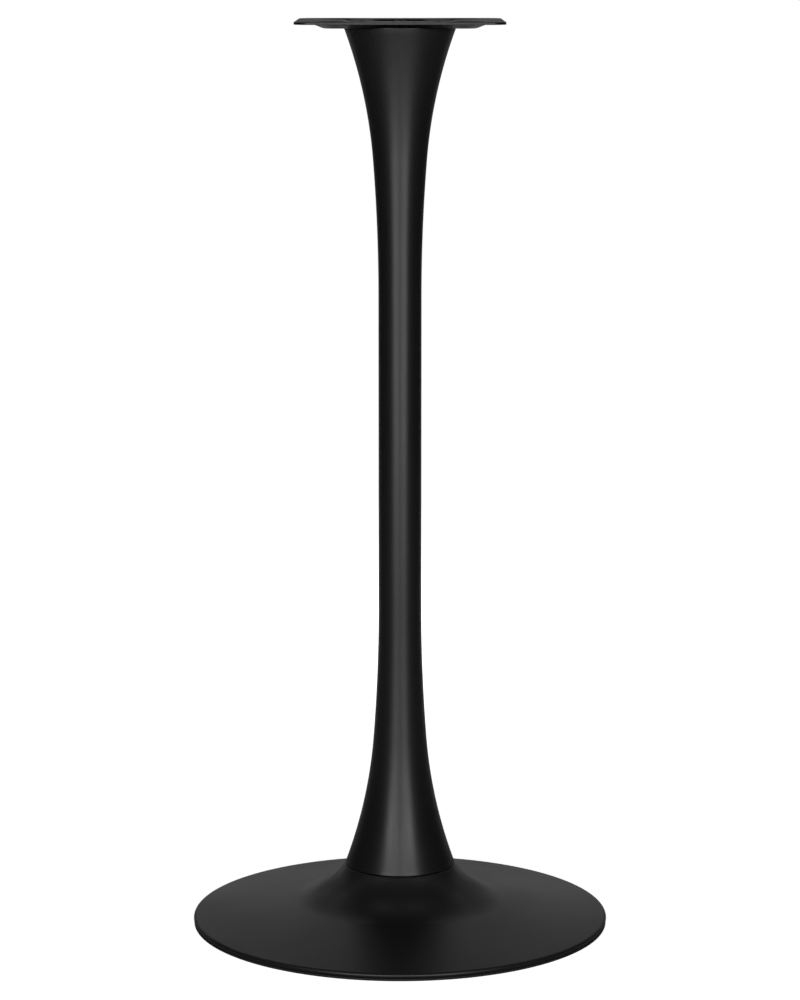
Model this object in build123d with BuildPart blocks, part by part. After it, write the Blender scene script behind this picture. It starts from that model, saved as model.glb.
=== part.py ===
from build123d import *
from math import cos, radians, sqrt, tan
import os

# A floor-standing bar table base: a round dished foot with a cast weight inside it,
# a slim steel column that flares like a trumpet at both ends, and a square pressed
# plate that carries the table top. Millimetres, +Z up. The origin is the centre of
# the foot on the floor.

# Foot
base_radius = 250.0
neck_height = 70.0
dish_slope = 9.0
dish_bend_radius = 129.0
cover_wall = 2.0
rim_bead_radius = 3.2
neck_edge_round = 1.2
neck_opening_radius = 24.0

# Rubber ring between the foot and the floor
ring_height = 2.4
ring_inset = 0.5
ring_foot_width = 17.5
lip_height = 3.2
lip_width = 3.0
lip_fit = 0.3

# Cast weight inside the foot
cast_fit = 1.0
cast_wall = 7.0
cast_edge_clearance = 3.4
foot_band_width = 38.0
hub_thickness = 10.0
hub_opening_radius = 20.0
rib_count = 6
rib_thickness = 6.0
rib_lift = 6.0
rib_start_radius = 58.0

# Column
column_length = 1006.0
tube_radius = 25.6
flare_end_radius = 66.0
flare_length = 316.0
flare_lead_radius = 2050.0
flare_lead_turn = 4.5
column_wall = 1.5
rim_edge_round = 0.5
end_plate_thickness = 6.0
shadow_gap = 1.0
weld_fit = 0.25
vent_radius = 12.0

# Top plate
plate_side = 243.6
plate_thickness = 3.0
plate_corner_radius = 20.0
plate_edge_round = 0.6
recess_depth = 5.0
recess_draft = 69.0
recess_radius = 68.0
arm_width = 55.0
arm_reach = 104.0
arm_blend_radius = 14.0
bend_outer_round = 9.0
bend_inner_round = 6.0
top_hole_radius = 3.5
top_hole_inset = 17.8

# Bolts between foot and column, and what goes with them
bolt_radius = 5.0
bolt_clearance = 0.5
bolt_circle_radius = 40.0
bolt_head_flats = 16.0
bolt_head_height = 6.4
bolt_stick_out = 4.8
bolt_tip_chamfer = 1.0
washer_outer_radius = 10.0
washer_clearance = 0.25
washer_thickness = 2.0
spring_washer_outer_radius = 9.0
spring_washer_clearance = 0.2
spring_washer_thickness = 2.2
spring_washer_slit = 1.6
foot_nut_flats = 17.0
foot_nut_height = 8.0

# Screws between top plate and column
screw_radius = 4.0
screw_clearance = 0.5
screw_circle_radius = 44.0
screw_head_radius = 7.0
screw_head_height = 4.4
screw_crown_round = 3.6
screw_stick_out = 4.5
screw_socket_flats = 5.0
screw_socket_depth = 2.6
head_nut_flats = 14.0
head_nut_height = 6.5
thread_clearance = 0.05
fastener_count = 4

# Heights that follow from the sizes above
foot_plate_base = neck_height
column_base = foot_plate_base + shadow_gap
column_top = column_base + column_length
column_middle = (column_base + column_top) / 2
head_plate_top = column_top + shadow_gap
recess_floor = head_plate_top + plate_thickness
plate_top = recess_floor + recess_depth
plate_underside = plate_top - plate_thickness
ledge_underside = neck_height - cover_wall
hub_underside = ledge_underside - hub_thickness
spring_washer_top = hub_underside - washer_thickness
bolt_seat = spring_washer_top - spring_washer_thickness
foot_nut_top = foot_plate_base + end_plate_thickness + foot_nut_height
head_nut_base = head_plate_top - end_plate_thickness - head_nut_height

# A vertical drawing plane whose height is zero at the middle of the column
column_plane = Plane((0, 0, column_middle), x_dir=(1, 0, 0), z_dir=(0, -1, 0))

os.makedirs("parts", exist_ok=True)


def finish(builder, name):
    """Labels a finished piece and writes it as a STEP file."""
    builder.part.label = name
    export_step(builder.part, f"parts/{name}.step")


def dish_curve(with_rim=True):
    """The outside of the foot: rolled rim, shallow cone and the sweep up to the neck."""
    with BuildLine(mode=Mode.PRIVATE) as curve:
        rim = JernArc(
            start=(base_radius - rim_bead_radius, ring_height),
            tangent=(1, 0),
            radius=rim_bead_radius,
            arc_size=180 - dish_slope,
            mode=Mode.ADD if with_rim else Mode.PRIVATE,
        )
        run = ((rim @ 1).X - dish_bend_radius) / cos(radians(dish_slope))
        cone = PolarLine(rim @ 1, length=run, angle=180 - dish_slope)
        TangentArc(cone @ 1, (flare_end_radius, neck_height), tangent=cone % 1)
    return curve.wires()[0]


def space_under_dish(depth, radius, ceiling):
    """The area inside the foot at a depth below its outside, within a radius and a height."""
    outline = offset(dish_curve(with_rim=False), amount=depth, side=Side.LEFT, closed=False)
    inner, *_, outer = outline.vertices().sort_by(Axis.X)
    with BuildSketch(mode=Mode.PRIVATE) as area:
        with BuildLine():
            add(outline)
            Polyline(
                (outer.X, outer.Y),
                (outer.X, -neck_height),
                (0, -neck_height),
                (0, inner.Y),
                (inner.X, inner.Y),
            )
        make_face()
        with Locations((0, ring_height)):
            Rectangle(
                radius,
                ceiling - ring_height,
                align=(Align.MIN, Align.MIN),
                mode=Mode.INTERSECT,
            )
    return area.sketch


def flare_curve():
    """The outside of the column from its middle up to the flared end, height zero at the middle."""
    flare_start = column_length / 2 - flare_length
    with BuildLine(mode=Mode.PRIVATE) as curve:
        tube = Line((tube_radius, 0), (tube_radius, flare_start))
        lead = JernArc(
            start=tube @ 1,
            tangent=(0, 1),
            radius=flare_lead_radius,
            arc_size=-flare_lead_turn,
        )
        TangentArc(lead @ 1, (flare_end_radius, column_length / 2), tangent=lead % 1)
    return curve.wires()[0]


def bolt_places():
    """Places of the bolts that hold the column to the foot."""
    return PolarLocations(bolt_circle_radius, fastener_count, start_angle=45)


def screw_places():
    """Places of the screws that hold the top plate to the column."""
    return PolarLocations(screw_circle_radius, fastener_count)


def flat_levels(builder):
    """The level faces of a piece, lowest first."""
    return builder.faces().filter_by(Axis.Z).sort_by(Axis.Z)


def hexagon(flats):
    """A hexagon drawn by its width across flats, in the sketch in hand."""
    RegularPolygon(flats / 2, 6, major_radius=False)


# Foot cover: one spun steel shell with a rolled rim and a ledge at the neck
with BuildPart() as base_cover:
    with BuildSketch(Plane.XZ) as cover_section:
        with BuildLine():
            add(dish_curve())
            Line((flare_end_radius, neck_height), (neck_opening_radius, neck_height))
            offset(amount=cover_wall, side=Side.LEFT)
        make_face()
        neck_corner = cover_section.vertices().sort_by_distance((flare_end_radius, neck_height))[0]
        fillet(neck_corner, radius=neck_edge_round)
    revolve(axis=Axis.Z)
    with Locations((0, 0, neck_height)):
        with bolt_places():
            Hole(bolt_radius + bolt_clearance, depth=cover_wall)
finish(base_cover, "base_cover")

# Cast weight: a thick dished casting with a flat foot band, a bolting hub and radial ribs
cast_radius = base_radius - rim_bead_radius - lip_fit - lip_width - cast_edge_clearance
band_inner_radius = cast_radius - foot_band_width
hollow_depth = cover_wall + cast_fit + cast_wall
with BuildSketch(Plane.XZ) as rib_section:
    add(space_under_dish(hollow_depth - cast_wall / 2, band_inner_radius + cast_wall, hub_underside))
    Rectangle(rib_start_radius, neck_height, align=(Align.MIN, Align.MIN), mode=Mode.SUBTRACT)
    Rectangle(
        base_radius, ring_height + rib_lift, align=(Align.MIN, Align.MIN), mode=Mode.SUBTRACT
    )
rib = extrude(rib_section.sketch, amount=rib_thickness / 2, both=True)

with BuildPart() as ballast:
    with BuildSketch(Plane.XZ):
        add(space_under_dish(cover_wall + cast_fit, cast_radius, ledge_underside))
    revolve(axis=Axis.Z)
    with BuildSketch(Plane.XZ):
        add(space_under_dish(hollow_depth, band_inner_radius, hub_underside))
    revolve(axis=Axis.Z, mode=Mode.SUBTRACT)
    with PolarLocations(0, rib_count):
        add(rib)
    with Locations((0, 0, ledge_underside)):
        Hole(hub_opening_radius, depth=hub_thickness)
        with bolt_places():
            Hole(bolt_radius + bolt_clearance, depth=hub_thickness)
finish(ballast, "ballast")

# Floor ring: soft rubber with a flat foot and a lip that grips inside the rolled rim
ring_outer_radius = base_radius - ring_inset
lip_outer_radius = base_radius - rim_bead_radius - lip_fit
with BuildPart() as floor_ring:
    with BuildSketch(Plane.XZ):
        with Locations((ring_outer_radius, 0)):
            Rectangle(ring_foot_width, ring_height, align=(Align.MAX, Align.MIN))
        with Locations((lip_outer_radius, 0)):
            Rectangle(lip_width, ring_height + lip_height, align=(Align.MAX, Align.MIN))
    revolve(axis=Axis.Z)
finish(floor_ring, "floor_ring")

# Column: a thin steel tube spun out into the same trumpet flare at both ends
with BuildPart() as column:
    with BuildSketch(column_plane) as column_section:
        with BuildLine():
            add(flare_curve())
            offset(amount=column_wall, side=Side.LEFT)
        make_face()
        Rectangle(3 * flare_end_radius, column_length, mode=Mode.INTERSECT)
        rim_corners = column_section.vertices().sort_by(Axis.Y)[-2:]
        fillet(rim_corners, radius=rim_edge_round)
        mirror(about=Plane.XZ)
    revolve(axis=Axis.Z)
finish(column, "column")

# End plates: steel discs welded inside the two flares, standing proud by the shadow gap
flare_lean = tan(radians(90 - flare_curve().tangent_angle_at(1)))
end_plate_embed = end_plate_thickness - shadow_gap
end_plate_radius = (
    flare_end_radius
    - column_wall * sqrt(1 + flare_lean**2)
    - end_plate_embed * flare_lean
    - weld_fit
)
with BuildPart() as column_foot_plate:
    with BuildSketch(Plane.XY.offset(foot_plate_base)):
        Circle(end_plate_radius)
        Circle(vent_radius, mode=Mode.SUBTRACT)
        with bolt_places():
            Circle(bolt_radius + bolt_clearance, mode=Mode.SUBTRACT)
    extrude(amount=end_plate_thickness)
finish(column_foot_plate, "column_foot_plate")

with BuildPart() as column_head_plate:
    with BuildSketch(Plane.XY.offset(head_plate_top)):
        Circle(end_plate_radius)
        Circle(vent_radius, mode=Mode.SUBTRACT)
        with screw_places():
            Circle(screw_radius + screw_clearance, mode=Mode.SUBTRACT)
    extrude(amount=-end_plate_thickness)
finish(column_head_plate, "column_head_plate")

# Top plate: one pressed steel square with a round recess and four arms towards its corners
wall_shift = plate_thickness * (tan(radians(recess_draft)) - 1 / cos(radians(recess_draft)))
with BuildSketch() as pressing:
    Circle(recess_radius)
    for angle in (45, 135):
        with Locations(Rotation(0, 0, angle)):
            SlotCenterToCenter(2 * arm_reach, arm_width)
    crotches = pressing.vertices().sort_by_distance((0, 0))[:8]
    fillet(crotches, radius=arm_blend_radius)

with BuildPart() as top_plate:
    with BuildSketch(Plane.XY.offset(plate_underside)):
        RectangleRounded(plate_side, plate_side, plate_corner_radius)
    extrude(amount=plate_thickness)
    underside_edges = top_plate.edges().group_by(Axis.Z)[0]
    face_edges = top_plate.edges().group_by(Axis.Z)[-1]
    fillet(underside_edges + face_edges, radius=plate_edge_round)
    with BuildSketch(Plane.XY.offset(plate_underside)):
        add(pressing.sketch)
    extrude(amount=-recess_depth, taper=recess_draft)
    with BuildSketch(Plane.XY.offset(plate_top)):
        offset(pressing.sketch, amount=wall_shift)
    extrude(amount=-recess_depth, taper=recess_draft, mode=Mode.SUBTRACT)
    pressed_base, inner_floor, underside, face = flat_levels(top_plate)
    outer_bends = pressed_base.outer_wire().edges() + face.inner_wires()[0].edges()
    fillet(outer_bends, radius=bend_outer_round)
    pressed_base, inner_floor, underside, face = flat_levels(top_plate)
    inner_bends = inner_floor.outer_wire().edges() + underside.inner_wires()[0].edges()
    fillet(inner_bends, radius=bend_inner_round)
    with Locations((0, 0, recess_floor)):
        with screw_places():
            Hole(screw_radius + screw_clearance, depth=plate_thickness)
    hole_reach = plate_side - 2 * top_hole_inset
    with Locations((0, 0, plate_top)):
        with GridLocations(hole_reach, hole_reach, 2, 2):
            Hole(top_hole_radius, depth=plate_thickness)
finish(top_plate, "top_plate")

# Weld nuts: hexagons welded to the far side of each end plate, over its holes
with BuildPart() as foot_weld_nuts:
    with BuildSketch(Plane.XY.offset(foot_plate_base + end_plate_thickness)):
        with bolt_places():
            hexagon(foot_nut_flats)
            Circle(bolt_radius + thread_clearance, mode=Mode.SUBTRACT)
    extrude(amount=foot_nut_height)
finish(foot_weld_nuts, "foot_weld_nuts")

with BuildPart() as head_weld_nuts:
    with BuildSketch(Plane.XY.offset(head_plate_top - end_plate_thickness)):
        with screw_places():
            hexagon(head_nut_flats)
            Circle(screw_radius + thread_clearance, mode=Mode.SUBTRACT)
    extrude(amount=-head_nut_height)
finish(head_weld_nuts, "head_weld_nuts")

# Washers under the heads of the foot bolts: a flat one against the casting, then a split one
with BuildPart() as base_washers:
    with BuildSketch(Plane.XY.offset(hub_underside)):
        with bolt_places():
            Circle(washer_outer_radius)
            Circle(bolt_radius + washer_clearance, mode=Mode.SUBTRACT)
    extrude(amount=-washer_thickness)
finish(base_washers, "base_washers")

with BuildPart() as base_spring_washers:
    with BuildSketch(Plane.XY.offset(spring_washer_top)):
        with bolt_places():
            Circle(spring_washer_outer_radius)
            Circle(bolt_radius + spring_washer_clearance, mode=Mode.SUBTRACT)
            Rectangle(
                spring_washer_outer_radius,
                spring_washer_slit,
                align=(Align.MIN, Align.CENTER),
                mode=Mode.SUBTRACT,
            )
    extrude(amount=-spring_washer_thickness)
finish(base_spring_washers, "base_spring_washers")

# Foot bolts: hexagon heads inside the casting's hub, shanks up through to the weld nuts
with BuildPart() as base_bolts:
    with BuildSketch(Plane.XY.offset(bolt_seat)):
        with bolt_places():
            Circle(bolt_radius)
    extrude(amount=foot_nut_top + bolt_stick_out - bolt_seat)
    tips = base_bolts.edges().group_by(Axis.Z)[-1]
    chamfer(tips, length=bolt_tip_chamfer)
    with BuildSketch(Plane.XY.offset(bolt_seat)):
        with bolt_places():
            hexagon(bolt_head_flats)
    extrude(amount=-bolt_head_height)
finish(base_bolts, "base_bolts")

# Top plate screws: low round heads with a hexagon socket, sunk below the plate's face
with BuildPart() as top_plate_screws:
    with BuildSketch(Plane.XY.offset(recess_floor)):
        with screw_places():
            Circle(screw_head_radius)
    extrude(amount=screw_head_height)
    crowns = top_plate_screws.edges().group_by(Axis.Z)[-1]
    fillet(crowns, radius=screw_crown_round)
    with BuildSketch(Plane.XY.offset(recess_floor + screw_head_height)):
        with screw_places():
            hexagon(screw_socket_flats)
    extrude(amount=-screw_socket_depth, mode=Mode.SUBTRACT)
    with BuildSketch(Plane.XY.offset(recess_floor)):
        with screw_places():
            Circle(screw_radius)
    extrude(amount=head_nut_base - screw_stick_out - recess_floor)
finish(top_plate_screws, "top_plate_screws")
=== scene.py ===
# %% [markdown]
# # A bar table base in satin black
#
# The object is the pedestal of a bar table: a round dished foot, one slim column that opens like a
# trumpet at both ends, and a square pressed plate that carries the table top. Its steel is powder
# coated in a satin black. Under the foot hide an iron casting, four bolts and a rubber ring.
#
# The exact shapes come from the CAD model, which is loaded first and never moved. This script gives
# every surface its finish, remakes the small parts that deserve more detail than a solid needs
# (threads, hexagon heads, moulded rubber), and sets up a small photo studio.

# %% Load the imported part
import math

import bmesh
import bpy
from mathutils import Matrix, Vector


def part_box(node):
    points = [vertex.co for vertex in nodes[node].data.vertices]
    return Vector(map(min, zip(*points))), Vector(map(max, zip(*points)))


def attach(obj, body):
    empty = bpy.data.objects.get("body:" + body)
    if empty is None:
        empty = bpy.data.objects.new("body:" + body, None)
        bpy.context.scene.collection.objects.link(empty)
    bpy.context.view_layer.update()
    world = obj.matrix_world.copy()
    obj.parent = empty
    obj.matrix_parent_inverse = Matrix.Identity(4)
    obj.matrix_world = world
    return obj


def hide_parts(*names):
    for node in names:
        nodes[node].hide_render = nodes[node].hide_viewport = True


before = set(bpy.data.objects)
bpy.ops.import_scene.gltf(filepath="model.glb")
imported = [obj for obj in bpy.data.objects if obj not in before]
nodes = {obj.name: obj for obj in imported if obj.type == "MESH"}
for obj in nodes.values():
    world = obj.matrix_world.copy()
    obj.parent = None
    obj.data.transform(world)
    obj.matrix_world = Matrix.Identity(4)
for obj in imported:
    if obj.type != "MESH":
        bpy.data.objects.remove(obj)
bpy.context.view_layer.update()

print("pieces in the CAD model:", ", ".join(sorted(nodes)))

# %% [markdown]
# ## The camera
#
# The photographer stood almost four metres away with a long lens, a little above the plate. A long
# lens keeps the column's edges nearly parallel. The view is shifted instead of tilted further, so
# that the foot and the plate both stay in the frame.

# %% Place the camera
CAMERA_DISTANCE = 3.9336
CAMERA_HEIGHT = 1.1704
CAMERA_TILT = math.radians(7.394)
LENS_MM = 119.96
FRAME_SHIFT = -0.12

camera = bpy.data.objects.new("studio_camera", bpy.data.cameras.new("studio_camera"))
bpy.context.scene.collection.objects.link(camera)
camera.data.lens = LENS_MM
camera.data.sensor_width = 36
camera.data.shift_y = FRAME_SHIFT
camera.data.clip_end = 100
camera.location = (0, -CAMERA_DISTANCE, CAMERA_HEIGHT)
gaze = Vector((0, math.cos(CAMERA_TILT), -math.sin(CAMERA_TILT)))
camera.rotation_euler = gaze.to_track_quat("-Z", "Y").to_euler()
bpy.context.scene.camera = camera
print("camera stands", CAMERA_DISTANCE, "m away, lens", LENS_MM, "mm")

# %% [markdown]
# ## Helpers for shader nodes
#
# A finish is a small network of nodes. These helpers add a node, fill in its sockets and connect
# them. Blend mixes two colours, spread stretches a value to another span, and end_finish connects
# colour, roughness and bump to the shader. So each finish below reads as a short recipe.


# %% Helpers for shader nodes
def fill_sockets(tree, node, sockets):
    """Gives each named socket a plain value, or connects the output that feeds it."""
    for socket, value in sockets.items():
        if isinstance(value, bpy.types.NodeSocket):
            tree.links.new(value, node.inputs[socket])
        else:
            node.inputs[socket].default_value = value


def add_node(tree, kind, sockets=None, **settings):
    """Adds a node with its settings and fills its sockets."""
    made = tree.nodes.new(kind)
    for setting, value in settings.items():
        setattr(made, setting, value)
    fill_sockets(tree, made, sockets or {})
    return made


def start_group(name, inputs, outputs):
    """A node group with number or vector inputs, {name: default}, and number outputs."""
    group = bpy.data.node_groups.new(name, "ShaderNodeTree")
    for label, default in inputs.items():
        kind = "NodeSocketVector" if default is None else "NodeSocketFloat"
        socket = group.interface.new_socket(name=label, in_out="INPUT", socket_type=kind)
        if default is not None:
            socket.default_value = default
    for label in outputs:
        group.interface.new_socket(name=label, in_out="OUTPUT", socket_type="NodeSocketFloat")
    ins = group.nodes.new("NodeGroupInput").outputs
    outs = group.nodes.new("NodeGroupOutput").inputs
    return group, ins, outs


def start_finish(name):
    """A material, its node tree and the piece's own coordinates."""
    finish = bpy.data.materials.new(name)
    finish.use_nodes = True
    tree = finish.node_tree
    return finish, tree, add_node(tree, "ShaderNodeTexCoord").outputs["Object"]


def use_group(tree, group, sockets):
    """Places a node group in a material with its own values."""
    return add_node(tree, "ShaderNodeGroup", sockets, node_tree=group).outputs


def blend(tree, share, first, second):
    """A colour between two others."""
    mix = add_node(
        tree, "ShaderNodeMix", {"Factor": share, "A": first, "B": second}, data_type="RGBA"
    )
    return mix.outputs["Result"]


def spread(tree, value, low, high, start=0.0, end=1.0):
    """Takes a value that runs from start to end and stretches it to run from low to high."""
    sockets = {"Value": value, "From Min": start, "From Max": end, "To Min": low, "To Max": high}
    return add_node(tree, "ShaderNodeMapRange", sockets).outputs["Result"]


def end_finish(tree, colour, roughness, height, strength, distance):
    """Connects a finish's colour, roughness and bump to its Principled shader."""
    bump = {"Height": height, "Strength": strength, "Distance": distance}
    normal = add_node(tree, "ShaderNodeBump", bump).outputs["Normal"]
    shader = tree.nodes["Principled BSDF"]
    fill_sockets(tree, shader, {"Base Color": colour, "Roughness": roughness, "Normal": normal})


print("helpers ready")

# %% [markdown]
# ## Coat grain
#
# Powder coat is sprayed on as dust and melted in an oven. It levels almost, but not quite: up close
# it has a fine orange peel of soft dimples about a millimetre wide, and its gloss drifts slowly
# over the surface. Rubber, paint and plating have a grain of the same kind at other sizes, so this
# is a group that every finish places with its own size.


# %% Grain that several finishes share
def noise_of_size(group, place, size_mm, detail, roughness):
    """Noise whose spots are about that many millimetres wide."""
    sizes = {0: 1000.0, 1: size_mm}
    scale = add_node(group, "ShaderNodeMath", sizes, operation="DIVIDE").outputs[0]
    look = {"Vector": place, "Scale": scale, "Detail": detail, "Roughness": roughness}
    return add_node(group, "ShaderNodeTexNoise", look).outputs["Fac"]


def make_surface_grain():
    """Height is the dimples, Drift a slow change over a hand's width; both lie about 0 to 1."""
    group, ins, outs = start_group(
        "surface_grain",
        {"Place": None, "Dimple mm": 1.0, "Drift mm": 80.0},
        ["Height", "Drift"],
    )
    dimples = noise_of_size(group, ins["Place"], ins["Dimple mm"], 2.0, 0.45)
    drift = noise_of_size(group, ins["Place"], ins["Drift mm"], 3.0, 0.5)
    group.links.new(dimples, outs["Height"])
    group.links.new(drift, outs["Drift"])
    return group


surface_grain = make_surface_grain()
print("group", surface_grain.name, "with", len(surface_grain.nodes), "nodes")

# %% [markdown]
# ## Worn edges
#
# Handling polishes a coat where it is proudest, which is along edges. The Bevel node answers with
# the normal that a rounded edge would have. Where that differs from the true normal, an edge is
# near, and a noise breaks the line up so that it does not look drawn.


# %% Edge wear that several finishes share
def make_edge_rub():
    """Rub is 0 on open surfaces and rises to 1 on edges that hands and boxes have touched."""
    group, ins, outs = start_group(
        "edge_rub",
        {"Place": None, "Width": 0.001, "Patch mm": 12.0},
        ["Rub"],
    )
    rounded = add_node(group, "ShaderNodeBevel", {"Radius": ins["Width"]}, samples=4)
    true_normal = add_node(group, "ShaderNodeNewGeometry").outputs["Normal"]
    normals = {0: rounded.outputs["Normal"], 1: true_normal}
    same = add_node(group, "ShaderNodeVectorMath", normals, operation="DOT_PRODUCT")
    edge = spread(group, same.outputs["Value"], 0.0, 1.0, 0.99, 0.85)
    patches = noise_of_size(group, ins["Place"], ins["Patch mm"], 4.0, 0.6)
    broken = spread(group, patches, 0.15, 1.0, 0.38, 0.62)
    rub = add_node(group, "ShaderNodeMath", {0: edge, 1: broken}, operation="MULTIPLY")
    group.links.new(rub.outputs[0], outs["Rub"])
    return group


edge_rub = make_edge_rub()
print("group", edge_rub.name, "with", len(edge_rub.nodes), "nodes")

# %% [markdown]
# ## Satin black powder coat
#
# This finish covers nearly everything that shows. Its colour is a black that sends back well under
# one percent of the light, so the eye reads the shape from the soft reflections alone. That makes
# roughness the value that matters most: it was set by comparing the width of the light streak on
# the column with the photograph.

# %% Satin black powder coat
COAT_BLACK = (0.0072, 0.0072, 0.0075, 1)
COAT_RUBBED = (0.012, 0.012, 0.0125, 1)
COAT_ROUGHNESS = 0.36
COAT_DRIFT = 0.02
COAT_POLISH = 0.06


def make_powder_coat():
    finish, tree, place = start_finish("satin_black_powder_coat")
    grain = use_group(tree, surface_grain, {"Place": place, "Dimple mm": 1.1, "Drift mm": 90.0})
    rub = use_group(tree, edge_rub, {"Place": place, "Width": 0.0012, "Patch mm": 14.0})["Rub"]
    drifting = spread(
        tree, grain["Drift"], COAT_ROUGHNESS - COAT_DRIFT, COAT_ROUGHNESS + COAT_DRIFT, 0.3, 0.7
    )
    polished = add_node(
        tree, "ShaderNodeMath", {0: rub, 1: -COAT_POLISH, 2: drifting}, operation="MULTIPLY_ADD"
    )
    colour = blend(tree, rub, COAT_BLACK, COAT_RUBBED)
    end_finish(tree, colour, polished.outputs[0], grain["Height"], 0.25, 0.00005)
    return finish


powder_coat = make_powder_coat()
print("finish", powder_coat.name, "roughness about", COAT_ROUGHNESS)

# %% [markdown]
# ## Moulded rubber
#
# The ring under the foot is soft black rubber that has greyed a little. Rubber scatters light more
# than paint does, so it is rougher and slightly paler, with a fine matt grain from its mould.

# %% Moulded rubber
RUBBER_DARK = (0.007, 0.007, 0.007, 1)
RUBBER_GREYED = (0.014, 0.014, 0.0135, 1)


def make_rubber():
    finish, tree, place = start_finish("moulded_rubber")
    grain = use_group(tree, surface_grain, {"Place": place, "Dimple mm": 0.5, "Drift mm": 30.0})
    colour = blend(tree, grain["Drift"], RUBBER_DARK, RUBBER_GREYED)
    roughness = spread(tree, grain["Height"], 0.62, 0.85)
    end_finish(tree, colour, roughness, grain["Height"], 0.4, 0.00005)
    return finish


rubber = make_rubber()
print("finish", rubber.name)

# %% [markdown]
# ## Painted sand casting
#
# The weight inside the foot is iron poured into a sand mould and dipped in a thin black primer. The
# sand leaves a coarse skin: grains of a millimetre or two, and here and there a small pit. The
# primer rubs off on edges, and a warm grey-brown of iron shows there.

# %% Painted sand casting
PRIMER = (0.014, 0.014, 0.015, 1)
BARE_IRON = (0.065, 0.055, 0.048, 1)


def make_casting():
    finish, tree, place = start_finish("painted_sand_casting")
    sand = use_group(tree, surface_grain, {"Place": place, "Dimple mm": 1.8, "Drift mm": 45.0})
    rub = use_group(tree, edge_rub, {"Place": place, "Width": 0.0016, "Patch mm": 9.0})["Rub"]
    cells = {"Vector": place, "Scale": 140.0, "Randomness": 1.0}
    pits = add_node(tree, "ShaderNodeTexVoronoi", cells).outputs["Distance"]
    depth = spread(tree, pits, -0.8, 0.0, 0.0, 0.22)
    skin = add_node(tree, "ShaderNodeMath", {0: sand["Height"], 1: depth}, operation="ADD")
    colour = blend(tree, rub, PRIMER, BARE_IRON)
    roughness = spread(tree, sand["Drift"], 0.6, 0.78, 0.3, 0.7)
    end_finish(tree, colour, roughness, skin.outputs[0], 0.6, 0.0006)
    return finish


casting = make_casting()
print("finish", casting.name)

# %% [markdown]
# ## Zinc plated steel
#
# Bolts and washers are plated with zinc, a bright grey metal with a faint blue cast and cloudy
# patches from the bath. It is a true metal, so Metallic is one and the colour is its reflection.

# %% Zinc plated steel
ZINC_CLEAR = (0.52, 0.54, 0.56, 1)
ZINC_CLOUDY = (0.38, 0.38, 0.37, 1)


def make_zinc():
    finish, tree, place = start_finish("zinc_plated_steel")
    cloud = use_group(tree, surface_grain, {"Place": place, "Dimple mm": 0.7, "Drift mm": 6.0})
    colour = blend(tree, cloud["Drift"], ZINC_CLEAR, ZINC_CLOUDY)
    roughness = spread(tree, cloud["Drift"], 0.3, 0.48, 0.3, 0.7)
    end_finish(tree, colour, roughness, cloud["Height"], 0.2, 0.00005)
    tree.nodes["Principled BSDF"].inputs["Metallic"].default_value = 1.0
    return finish


zinc = make_zinc()
print("finish", zinc.name)

# %% [markdown]
# ## Blackened screws
#
# The four screws in the plate are blackened steel with a trace of oil: darker and glossier than
# the coat around them, and rubbed to a dull grey where the hexagon key has been.

# %% Blackened screws
OXIDE_BLACK = (0.009, 0.009, 0.010, 1)
OXIDE_RUBBED = (0.07, 0.07, 0.072, 1)


def make_black_oxide():
    finish, tree, place = start_finish("blackened_screw_steel")
    grain = use_group(tree, surface_grain, {"Place": place, "Dimple mm": 0.6, "Drift mm": 8.0})
    rub = use_group(tree, edge_rub, {"Place": place, "Width": 0.0005, "Patch mm": 3.0})["Rub"]
    colour = blend(tree, rub, OXIDE_BLACK, OXIDE_RUBBED)
    roughness = spread(tree, grain["Drift"], 0.24, 0.36, 0.3, 0.7)
    end_finish(tree, colour, roughness, grain["Height"], 0.15, 0.00004)
    return finish


black_oxide = make_black_oxide()
print("finish", black_oxide.name)

# %% [markdown]
# ## Dress the CAD pieces
#
# Most of the CAD pieces already have the shape of the real ones, so they keep it and only get a
# finish. The plate and the discs that are welded into the column went through the powder oven
# together with the column and the foot.

# %% Give the CAD pieces their finish
FINISH_OF = {
    "top_plate": powder_coat,
    "column_foot_plate": powder_coat,
    "column_head_plate": powder_coat,
    "foot_weld_nuts": zinc,
    "head_weld_nuts": zinc,
    "base_washers": zinc,
    "base_spring_washers": zinc,
    "ballast": casting,
}


def dress(piece, finish):
    piece.data.materials.clear()
    piece.data.materials.append(finish)


for name, finish in FINISH_OF.items():
    dress(nodes[name], finish)
print("dressed", len(FINISH_OF), "CAD pieces")

# %% [markdown]
# ## Rings that follow a rule
#
# Turned parts with a hexagon in them, such as a bolt head or a screw with a socket, are all stacks
# of rings: some round, some six-sided. So one helper makes a ring whose radius follows the angle,
# and another bridges each ring to the next and closes both ends.

# %% Helpers for stacked rings
RING_STEPS = 48


def hexagon_radius(flats):
    """How far a hexagon's outline is from its centre, by angle."""

    def at(angle):
        from_flat = (angle + math.pi / 6) % (math.pi / 3) - math.pi / 6
        return flats / 2 / math.cos(from_flat)

    return at


def ring_edges(verts):
    """The edges at some corners, each one once and in a fixed order."""
    return list(dict.fromkeys(e for v in verts for e in v.link_edges))


def add_ring(bm, radius, height):
    """A closed ring of edges. Radius and height are numbers, or rules that take the angle."""
    made = bmesh.ops.create_circle(bm, segments=RING_STEPS, radius=1.0)
    for v in made["verts"]:
        angle = math.atan2(v.co.y, v.co.x)
        r = radius(angle) if callable(radius) else radius
        z = height(angle) if callable(height) else height
        v.co = Vector((r * math.cos(angle), r * math.sin(angle), z))
    return ring_edges(made["verts"])


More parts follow.
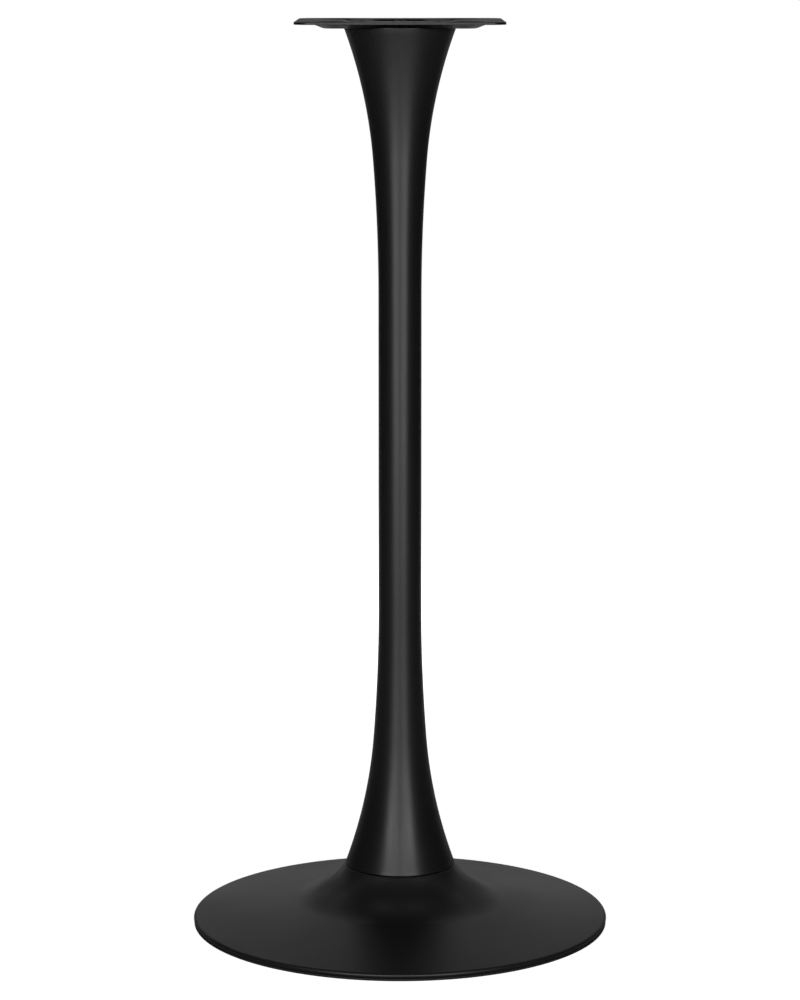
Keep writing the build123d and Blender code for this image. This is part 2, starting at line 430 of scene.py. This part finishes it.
def stack_rings(bm, rings):
    """Bridges rings from first to last and closes the two ends."""
    loops = [add_ring(bm, radius, height) for radius, height in rings]
    for lower, upper in zip(loops, loops[1:]):
        bmesh.ops.bridge_loops(bm, edges=lower + upper)
    bmesh.ops.edgeloop_fill(bm, edges=loops[0])
    bmesh.ops.edgeloop_fill(bm, edges=loops[-1])


print("a ring has", RING_STEPS, "steps")

# %% [markdown]
# ## A real thread
#
# A thread is one tooth carried round and up at the same time. Spin does exactly that when it is
# given a step along the axis as well: the tooth's outline turns through many full circles and each
# turn lands on the one before. The rod is then cut square at both ends, and the last millimetre is
# squeezed to a cone, as the end of a bolt is.

# %% Helper for a threaded rod
THREAD_STEPS = 24
THREAD_DEPTH = 0.6


def add_threaded_rod(bm, radius, pitch, low, high, cone):
    """A threaded rod on the Z axis, with a cone of that length at its high end if high > low."""
    root = radius - THREAD_DEPTH * pitch
    bottom, top = min(low, high), max(low, high)
    tooth = [(root, 0.0), (root, 0.12), (radius, 0.44), (radius, 0.56), (root, 0.88), (root, 1.0)]
    old = set(bm.verts)
    outline = [bm.verts.new((r, 0, bottom + (share - 1) * pitch)) for r, share in tooth]
    edges = [bm.edges.new(pair) for pair in zip(outline, outline[1:])]
    turns = math.ceil((top - bottom) / pitch) + 2
    bmesh.ops.spin(
        bm,
        geom=outline + edges,
        cent=(0, 0, 0),
        axis=(0, 0, 1),
        dvec=(0, 0, pitch / THREAD_STEPS),
        angle=2 * math.pi * turns,
        steps=THREAD_STEPS * turns,
        use_merge=False,
    )
    bmesh.ops.remove_doubles(bm, verts=[v for v in bm.verts if v not in old], dist=1e-6)
    for level, keep_above in ((bottom, True), (top, False)):
        fresh = [v for v in bm.verts if v not in old]
        faces = list(dict.fromkeys(f for v in fresh for f in v.link_faces))
        bmesh.ops.bisect_plane(
            bm,
            geom=fresh + ring_edges(fresh) + faces,
            plane_co=(0, 0, level),
            plane_no=(0, 0, 1),
            clear_inner=keep_above,
            clear_outer=not keep_above,
        )
        open_edges = [e for e in bm.edges if e.is_boundary]
        rim = [e for e in open_edges if all(abs(v.co.z - level) < 1e-6 for v in e.verts)]
        bmesh.ops.edgeloop_fill(bm, edges=rim)
    for v in (v for v in bm.verts if v not in old):
        limit = radius - max(0.0, cone - abs(v.co.z - high))
        reach = math.hypot(v.co.x, v.co.y)
        if reach > limit:
            v.co.x *= limit / reach
            v.co.y *= limit / reach


print("a turn of thread has", THREAD_STEPS, "steps")

# %% [markdown]
# ## Spun shapes
#
# The column and the foot are made on a lathe, and so are their outlines here: a few straight runs
# and arcs that flow into each other, turned once round the Z axis. The arc helper needs only where
# the arc starts, which way it leaves and where it ends.

# %% Helpers for spun shapes


def turned(arm, angle):
    """A flat vector, turned by an angle."""
    return Matrix.Rotation(angle, 2) @ arm


def curve_to(start, heading, end, steps):
    """Points on the arc that leaves start along a heading and ends at end, without start."""
    chord = end - start
    across = turned(heading, -math.pi / 2)
    middle = start + across * chord.length_squared / (2 * chord.dot(across))
    turn = -2 * math.atan2(chord.dot(across), chord.dot(heading))
    return [middle + turned(start - middle, turn * (i + 1) / steps) for i in range(steps)]


def turn_round(bm, outline, steps, closed=False):
    """Spins an outline of radius and height once round the Z axis."""
    line = [bm.verts.new((radius, 0, height)) for radius, height in outline]
    following = line[1:] + line[:1] if closed else line[1:]
    bmesh.ops.spin(
        bm,
        geom=line + [bm.edges.new(pair) for pair in zip(line, following)],
        cent=(0, 0, 0),
        axis=(0, 0, 1),
        dvec=(0, 0, 0),
        angle=2 * math.pi,
        steps=steps,
        use_merge=True,
    )


def round_edges(bm, edges, offset, segments):
    """Rounds edges, as a tool or a mould leaves them."""
    bmesh.ops.bevel(
        bm,
        geom=edges,
        offset=offset,
        offset_type="OFFSET",
        affect="EDGES",
        segments=segments,
        profile=0.5,
        material=-1,
    )


print("spin helpers ready")

# %% [markdown]
# ## From mesh to piece
#
# Every piece ends the same way: faces pointing outwards, smooth shading with sharp creases kept,
# its finish, and a ride on the one body that the base consists of.


# %% Helper that finishes a piece
def make_piece(name, bm, finish, stands_for, crease=35.0):
    bmesh.ops.recalc_face_normals(bm, faces=bm.faces)
    mesh = bpy.data.meshes.new(name)
    bm.to_mesh(mesh)
    bm.free()
    mesh.shade_smooth()
    mesh.set_sharp_from_angle(angle=math.radians(crease))
    piece = bpy.data.objects.new(name, mesh)
    bpy.context.scene.collection.objects.link(piece)
    dress(piece, finish)
    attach(piece, "root")
    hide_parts(stands_for)
    print(name, "has", len(mesh.polygons), "faces")
    return piece


def set_out(bm, radius, first_angle, turns):
    """Copies what is in the bmesh round a circle, each copy turned on its own axis first."""
    master = list(bm.verts) + list(bm.edges) + list(bm.faces)
    for i, turn in enumerate(turns):
        copy = bmesh.ops.duplicate(bm, geom=master)["geom"]
        verts = [v for v in copy if isinstance(v, bmesh.types.BMVert)]
        angle = first_angle + i * 2 * math.pi / len(turns)
        spin = Matrix.Rotation(math.radians(turn), 3, "Z")
        bmesh.ops.rotate(bm, cent=(0, 0, 0), matrix=spin, verts=verts)
        place = (radius * math.cos(angle), radius * math.sin(angle), 0)
        bmesh.ops.translate(bm, vec=place, verts=verts)
    corners = [v for v in master if isinstance(v, bmesh.types.BMVert)]
    bmesh.ops.delete(bm, geom=corners, context="VERTS")


# %% [markdown]
# ## Foot bolts
#
# Four M10 bolts hold the column to the foot. A real hexagon head is cut from a bar and then turned:
# its corners are cut back by a shallow cone, so the outline dips at each corner, and a thin round
# collar under the head bears on the washer. The bolts were tightened by hand and stopped at
# whatever angle they stopped, so each is turned a little differently.

# %% Foot bolts
BOLT_RADIUS = 0.005
BOLT_PITCH = 0.0015
BOLT_CIRCLE = 0.040
BOLT_FLATS = 0.016
BOLT_HEAD = 0.0064
HEAD_CONE = math.tan(math.radians(28))
COLLAR_RADIUS = BOLT_FLATS * 0.46
COLLAR_HEIGHT = 0.0003
HEAD_DISH_DEPTH = 0.0004
ROD_IN_HEAD = 0.0004
ROD_TIP_CONE = 0.001
bolts_low, bolts_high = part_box("base_bolts")
bolt_seat = bolts_low.z + BOLT_HEAD


def head_corner_height(angle):
    """The cone that trims a bolt head's corners meets each flat in a curve."""
    beyond = hexagon_radius(BOLT_FLATS)(angle) - BOLT_FLATS / 2 * 0.97
    return bolts_low.z + beyond * HEAD_CONE


def make_foot_bolts():
    bm = bmesh.new()
    stack_rings(
        bm,
        [
            (COLLAR_RADIUS, bolt_seat),
            (COLLAR_RADIUS, bolt_seat - COLLAR_HEIGHT),
            (hexagon_radius(BOLT_FLATS), bolt_seat - COLLAR_HEIGHT),
            (hexagon_radius(BOLT_FLATS), head_corner_height),
            (BOLT_FLATS / 2 * 0.95, bolts_low.z),
            (BOLT_FLATS / 2 * 0.72, bolts_low.z),
            (BOLT_FLATS / 2 * 0.66, bolts_low.z + HEAD_DISH_DEPTH),
        ],
    )
    start = bolt_seat - ROD_IN_HEAD
    add_threaded_rod(bm, BOLT_RADIUS, BOLT_PITCH, start, bolts_high.z, ROD_TIP_CONE)
    set_out(bm, BOLT_CIRCLE, math.pi / 4, turns=(8, 31, 52, 17))
    return make_piece("foot_bolts", bm, zinc, "base_bolts", crease=28)


foot_bolts = make_foot_bolts()

# %% [markdown]
# ## Column
#
# The column carries the picture: one long streak of light that widens into the flares. Each half
# is a straight tube, a very long arc and a shorter arc that run into each other without a corner.
# The two ends are rounded a little, and the upper one catches a thin line of light.

# %% Column
COLUMN_STEPS = 180
COLUMN_WALL = 0.0015
TUBE_RADIUS = 0.0256
FLARE_LENGTH = 0.316
FLARE_RADIUS = 0.066
LEAD_RADIUS = 2.05
LEAD_TURN = math.radians(4.5)
LIP_ROUND = 0.0007
column_low, column_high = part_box("column")
column_middle = (column_low.z + column_high.z) / 2


def column_outline():
    """Radius and height along the outside, from the lower end to the upper end."""
    half = column_high.z - column_middle
    straight = Vector((TUBE_RADIUS, half - FLARE_LENGTH))
    lead_step = LEAD_RADIUS * Vector((1 - math.cos(LEAD_TURN), math.sin(LEAD_TURN)))
    lead = curve_to(straight, Vector((0, 1)), straight + lead_step, 10)
    flare_heading = turned(Vector((0, 1)), -LEAD_TURN)
    flare = curve_to(lead[-1], flare_heading, Vector((FLARE_RADIUS, half)), 24)
    upper = [straight] + lead + flare
    return [(p.x, column_middle - p.y) for p in reversed(upper)] + [
        (p.x, column_middle + p.y) for p in upper
    ]


def make_column():
    bm = bmesh.new()
    outside = column_outline()
    inside = [(radius - COLUMN_WALL, height) for radius, height in reversed(outside)]
    turn_round(bm, outside + inside, COLUMN_STEPS, closed=True)
    bmesh.ops.recalc_face_normals(bm, faces=bm.faces)
    lips = [e for e in bm.edges if e.calc_face_angle() > math.radians(40)]
    round_edges(bm, lips, LIP_ROUND, 4)
    return make_piece("spun_column", bm, powder_coat, "column", crease=50)


spun_column = make_column()

# %% [markdown]
# ## Foot cover
#
# The foot is sheet steel, spun over a form on a lathe: its edge is rolled to a bead, a shallow cone
# runs inwards, and one arc lifts the line up to the column. The CAD solid has this shape, but the
# bead carries a thin highlight right round the foot that betrays every facet. So the shell is spun
# once more, from the same few sizes in much finer steps. Only its outside is drawn: Solidify gives
# it the thickness of the sheet.

# %% Foot cover
COVER_STEPS = 360
COVER_WALL = 0.002
FOOT_RADIUS = 0.25
BEAD_RADIUS = 0.0032
BEAD_STEPS = 20
DISH_SLOPE = math.radians(9)
DISH_BEND_RADIUS = 0.129
NECK_RADIUS = 0.066
NECK_ROUND = 0.0007
NECK_STEPS = 24
NECK_OPENING = 0.024
CONE_SHARES = (0.004, 0.02, 0.35, 0.68, 1.0)
BOLT_HOLE = 0.0055
cover_low, cover_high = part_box("base_cover")


def cover_outline():
    """Radius and height along the outside, from under the bead to the edge of the neck."""
    bead_middle = Vector((FOOT_RADIUS - BEAD_RADIUS, cover_low.z + BEAD_RADIUS))
    bead_turn = math.pi - DISH_SLOPE
    lowest = Vector((0, -BEAD_RADIUS))
    bead = [bead_middle + turned(lowest, bead_turn * i / BEAD_STEPS) for i in range(BEAD_STEPS + 1)]
    inwards = turned(Vector((1, 0)), bead_turn)
    cone_length = (bead[-1].x - DISH_BEND_RADIUS) / math.cos(DISH_SLOPE)
    cone = [bead[-1] + inwards * cone_length * share for share in CONE_SHARES]
    neck = curve_to(cone[-1], inwards, Vector((NECK_RADIUS, cover_high.z)), NECK_STEPS)
    return bead + cone + neck


def add_hole(bm, radius, at, steps):
    """The edges of a round hole in the level ledge at the neck."""
    place = Matrix.Translation((at[0], at[1], cover_high.z))
    made = bmesh.ops.create_circle(bm, segments=steps, radius=radius, matrix=place)
    return ring_edges(made["verts"])


def make_foot_cover():
    bm = bmesh.new()
    turn_round(bm, cover_outline(), COVER_STEPS)
    ledge = cover_high.z - 1e-5
    neck = [e for e in bm.edges if e.is_boundary and e.verts[0].co.z > ledge]
    holes = add_hole(bm, NECK_OPENING, (0, 0), 96)
    for i in range(4):
        angle = math.pi / 4 + i * math.pi / 2
        at = (BOLT_CIRCLE * math.cos(angle), BOLT_CIRCLE * math.sin(angle))
        holes += add_hole(bm, BOLT_HOLE, at, 32)
    bmesh.ops.triangle_fill(bm, edges=neck + holes, use_beauty=True)
    bmesh.ops.recalc_face_normals(bm, faces=bm.faces)
    bmesh.ops.solidify(bm, geom=list(bm.faces), thickness=COVER_WALL)
    corner = [
        e
        for e in bm.edges
        if min(v.co.z for v in e.verts) > ledge
        and min(v.co.xy.length for v in e.verts) > NECK_RADIUS - 1e-4
    ]
    round_edges(bm, corner, NECK_ROUND, 4)
    return make_piece("foot_cover", bm, powder_coat, "base_cover", crease=40)


foot_cover = make_foot_cover()

# %% [markdown]
# ## Plate screws
#
# Four low round-headed screws sit in the plate's recess, so that the table top can lie flat on the
# plate. Each head is a turned dome with a hexagon socket pressed into it, and the socket ends in
# the shallow cone that the punch leaves.

# %% Plate screws
SCREW_RADIUS = 0.004
SCREW_PITCH = 0.00125
SCREW_CIRCLE = 0.044
SCREW_HEAD_RADIUS = 0.007
SCREW_HEAD = 0.0044
SCREW_CROWN = 0.0036
CROWN_STEPS = 6
SOCKET_FLATS = 0.005
SOCKET_DEPTH = 0.0026
screws_low, screws_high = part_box("top_plate_screws")
screw_seat = screws_high.z - SCREW_HEAD


def make_plate_screws():
    quarter = [i / CROWN_STEPS * math.pi / 2 for i in range(CROWN_STEPS + 1)]
    crown = [
        (
            SCREW_HEAD_RADIUS - SCREW_CROWN * (1 - math.cos(angle)),
            screws_high.z - SCREW_CROWN * (1 - math.sin(angle)),
        )
        for angle in quarter
    ]
    socket_floor = screws_high.z - SOCKET_DEPTH
    bm = bmesh.new()
    stack_rings(
        bm,
        [
            (SCREW_HEAD_RADIUS - 0.0003, screw_seat),
            (SCREW_HEAD_RADIUS, screw_seat + 0.0002),
            *crown,
            (hexagon_radius(SOCKET_FLATS + 0.0004), screws_high.z),
            (hexagon_radius(SOCKET_FLATS), screws_high.z - 0.0002),
            (hexagon_radius(SOCKET_FLATS), socket_floor + 0.0006),
            (SOCKET_FLATS / 2 * 0.9, socket_floor + 0.0005),
            (0.0004, socket_floor),
        ],
    )
    start = screw_seat + ROD_IN_HEAD
    add_threaded_rod(bm, SCREW_RADIUS, SCREW_PITCH, start, screws_low.z, ROD_TIP_CONE)
    set_out(bm, SCREW_CIRCLE, 0.0, turns=(12, 47, 26, 3))
    return make_piece("plate_screws", bm, black_oxide, "top_plate_screws", crease=28)


plate_screws = make_plate_screws()

# %% [markdown]
# ## Rubber ring
#
# The ring keeps the steel rim off the floor and stops the base from sliding. It is moulded, so
# every corner has a small radius, and its sole has three shallow grooves that grip. A lip on the
# inside of the ring presses into the rolled rim. The outline is a few points, spun once round, and
# Bevel then rounds every hard edge.

# %% Rubber ring
RING_TURN_STEPS = 180
SOLE_GROOVE_DEPTH = 0.0006
SOLE_GROOVE_WIDTH = 0.0016
SOLE_GROOVES = (0.2362, 0.2407, 0.2452)
LIP_OUTER_RADIUS = 0.2465
LIP_WIDTH = 0.003
RING_INNER_RADIUS = 0.232
RING_THICKNESS = 0.0024
RING_ROUND = 0.0002
ring_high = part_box("floor_ring")[1]


def ring_outline():
    """Radius and height of the ring's corners, once round its section."""
    sole = []
    for middle in SOLE_GROOVES:
        half = SOLE_GROOVE_WIDTH / 2
        sole += [
            (middle - half, 0.0),
            (middle - half * 0.6, SOLE_GROOVE_DEPTH),
            (middle + half * 0.6, SOLE_GROOVE_DEPTH),
            (middle + half, 0.0),
        ]
    return [
        (RING_INNER_RADIUS, 0.0),
        *sole,
        (ring_high.x, 0.0),
        (ring_high.x, RING_THICKNESS),
        (LIP_OUTER_RADIUS, RING_THICKNESS),
        (LIP_OUTER_RADIUS, ring_high.z),
        (LIP_OUTER_RADIUS - LIP_WIDTH, ring_high.z),
        (LIP_OUTER_RADIUS - LIP_WIDTH, RING_THICKNESS),
        (RING_INNER_RADIUS, RING_THICKNESS),
    ]


def make_rubber_ring():
    bm = bmesh.new()
    turn_round(bm, ring_outline(), RING_TURN_STEPS, closed=True)
    bmesh.ops.recalc_face_normals(bm, faces=bm.faces)
    hard = [e for e in bm.edges if e.calc_face_angle() > math.radians(30)]
    round_edges(bm, hard, RING_ROUND, 2)
    return make_piece("rubber_ring", bm, rubber, "floor_ring", crease=50)


rubber_ring = make_rubber_ring()

# %% [markdown]
# ## The floor
#
# The photograph was cut out and laid on white, so to the camera the floor is white too. What the
# object itself sees below it is a grey studio floor, which gives its underside a soft glow. The
# camera's white is a glow just short of full plus what the lamps add, so the object still leaves a
# faint shadow where it stands.

# %% The floor
FLOOR_GREY = 0.5
FLOOR_GLOW_NEAR = 0.93


def make_floor_finish():
    finish = bpy.data.materials.new("studio_floor")
    finish.use_nodes = True
    tree = finish.node_tree
    tree.nodes.clear()
    place = add_node(tree, "ShaderNodeTexCoord").outputs["Object"]
    away = add_node(tree, "ShaderNodeVectorMath", {0: place}, operation="LENGTH").outputs["Value"]
    glow = add_node(
        tree,
        "ShaderNodeMapRange",
        {"Value": away, "From Min": 0.3, "From Max": 1.0, "To Min": FLOOR_GLOW_NEAR, "To Max": 1.0},
        interpolation_type="SMOOTHSTEP",
    )
    grey = (FLOOR_GREY, FLOOR_GREY, FLOOR_GREY, 1)
    matt = add_node(tree, "ShaderNodeBsdfDiffuse", {"Color": grey}).outputs["BSDF"]
    white = add_node(tree, "ShaderNodeEmission", {"Strength": glow.outputs[0]}).outputs["Emission"]
    both = add_node(tree, "ShaderNodeAddShader", {0: matt, 1: white}).outputs["Shader"]
    seen = add_node(tree, "ShaderNodeLightPath").outputs["Is Camera Ray"]
    mixed = add_node(tree, "ShaderNodeMixShader", {0: seen, 1: matt, 2: both}).outputs["Shader"]
    add_node(tree, "ShaderNodeOutputMaterial", {"Surface": mixed})
    return finish


bm = bmesh.new()
bmesh.ops.create_grid(bm, x_segments=1, y_segments=1, size=12)
floor_mesh = bpy.data.meshes.new("studio_floor")
bm.to_mesh(floor_mesh)
bm.free()
floor = bpy.data.objects.new("studio_floor", floor_mesh)
bpy.context.scene.collection.objects.link(floor)
dress(floor, make_floor_finish())
print("floor of", floor.dimensions.x, "m")

# %% [markdown]
# ## The lamps
#
# A black satin object shows its lamps more than itself. In the photograph the column has one broad
# light streak down its middle with a slightly darker line inside, so banks of softboxes stand left
# and right of the camera, the brightest at 10 to 28 degrees. The far side of the foot is pale, so
# weaker boxes stand behind it. High boxes at the sides and overhead hardly change that view, but
# from other sides they give the foot and the plate their shape. Each entry below is one softbox on
# the left and one on the right.

# %% The lamps
# name: angle from the camera, distance, height, width, height of the box, brightness
SOFTBOXES = {
    "front_centre_low": (5, 3.2, 0.3, 0.6, 0.6, 0.8),
    "front_middle_low": (10, 3.2, 0.3, 0.6, 0.6, 1.2),
    "front_low": (16, 3.2, 0.3, 0.6, 0.6, 4.5),
    "front_middle_level": (10, 3.2, 1.3, 0.6, 0.6, 7.6),
    "front_side_low": (28, 3.2, 0.3, 0.6, 0.6, 2.9),
    "front_side_level": (28, 3.2, 0.95, 0.6, 0.6, 8.7),
    "front_side_high": (28, 3.2, 1.6, 0.6, 0.6, 2.4),
    "back_low": (175, 3.0, 0.25, 0.7, 0.6, 0.3),
    "back_level": (175, 3.0, 1.25, 0.7, 0.6, 0.26),
    "back_high": (175, 3.0, 1.9, 0.7, 0.6, 0.22),
    "back_side_low": (166, 3.0, 0.25, 0.7, 0.6, 0.1),
    "back_side_middle": (166, 3.0, 0.8, 0.7, 0.6, 0.2),
    "back_side_level": (166, 3.0, 1.25, 0.7, 0.6, 0.26),
    "back_side_high": (166, 3.0, 2.6, 0.7, 0.6, 0.57),
    "back_corner_low": (150, 3.0, 0.25, 0.7, 0.6, 0.32),
    "back_corner_level": (150, 3.0, 1.25, 0.7, 0.6, 0.3),
    "back_corner_high": (150, 3.0, 2.6, 0.7, 0.6, 0.5),
    "side_level": (132, 3.0, 1.25, 0.7, 0.6, 0.4),
    "side_high": (132, 3.0, 2.6, 0.7, 0.6, 0.8),
    "side_top": (105, 3.2, 2.7, 0.9, 0.9, 0.3),
    "side_front_top": (75, 3.2, 2.7, 0.9, 0.9, 0.4),
    "front_corner_high": (45, 3.2, 2.5, 0.7, 0.6, 2.5),
    "overhead": (125, 0.6, 3.2, 0.9, 0.9, 0.45),
}
AIM = Vector((0, 0, 0.6))


def add_softbox(name, side, angle, distance, height, width, tall, brightness):
    """A rectangle of light that faces the base. Brightness 1 looks as bright as white paper."""
    light = bpy.data.lights.new(name, "AREA")
    light.shape = "RECTANGLE"
    light.size = width
    light.size_y = tall
    light.energy = math.pi * width * tall * brightness
    box = bpy.data.objects.new(name, light)
    turn = math.radians(angle) * side
    box.location = (distance * math.sin(turn), -distance * math.cos(turn), height)
    box.rotation_euler = (AIM - box.location).to_track_quat("-Z", "Y").to_euler()
    box.visible_camera = False
    bpy.context.scene.collection.objects.link(box)


for name, values in SOFTBOXES.items():
    add_softbox(name + "_left", -1, *values)
    add_softbox(name + "_right", 1, *values)
print("softboxes:", 2 * len(SOFTBOXES))

# %% [markdown]
# ## Light on the floor
#
# The pressed plate's bulges and the upper flare face downwards, and what they show is the floor
# behind and in front of the base. Two lamps hang above those patches of floor and shine straight
# down in a narrow beam, so that the floor glows there while the base itself stays clear of them.

# %% Lamps over the floor
FLOOR_LAMP_HEIGHT = 1.6
FLOOR_LAMP_AWAY = 1.9
FLOOR_LAMP_SIZE = (2.6, 1.2)
FLOOR_LAMP_SPREAD = math.radians(60)
FLOOR_LAMP_WATTS = {"floor_lamp_front": (-1, 10.0), "floor_lamp_back": (1, 9.5)}

for name, (side, watts) in FLOOR_LAMP_WATTS.items():
    light = bpy.data.lights.new(name, "AREA")
    light.shape = "RECTANGLE"
    light.size, light.size_y = FLOOR_LAMP_SIZE
    light.spread = FLOOR_LAMP_SPREAD
    light.energy = watts
    lamp = bpy.data.objects.new(name, light)
    lamp.location = (0, side * FLOOR_LAMP_AWAY, FLOOR_LAMP_HEIGHT)
    lamp.visible_camera = False
    bpy.context.scene.collection.objects.link(lamp)
print("lamps over the floor:", ", ".join(FLOOR_LAMP_WATTS))

# %% [markdown]
# ## The room
#
# The world is white to the camera, at a strength of exactly one. Gloss and anything clear see a
# dim room, as in a studio with its ceiling lights off, and it sends no light of its own to matt
# surfaces.

# %% The room
ROOM_GLOSS = 0.02

world = bpy.data.worlds.new("studio_room")
bpy.context.scene.world = world
world.use_nodes = True
room = world.node_tree
room.nodes.clear()
path = add_node(room, "ShaderNodeLightPath").outputs
glossy = {0: path["Is Glossy Ray"], 1: path["Is Transmission Ray"]}
shiny = add_node(room, "ShaderNodeMath", glossy, operation="MAXIMUM").outputs[0]
dim = add_node(room, "ShaderNodeMath", {0: shiny, 1: ROOM_GLOSS}, operation="MULTIPLY").outputs[0]
seen = {0: path["Is Camera Ray"], 1: dim}
level = add_node(room, "ShaderNodeMath", seen, operation="MAXIMUM").outputs[0]
glow = add_node(room, "ShaderNodeBackground", {"Color": (1, 1, 1, 1), "Strength": level})
add_node(room, "ShaderNodeOutputWorld", {"Surface": glow.outputs[0]})
bpy.context.scene.view_settings.view_transform = "Standard"
print("world ready")
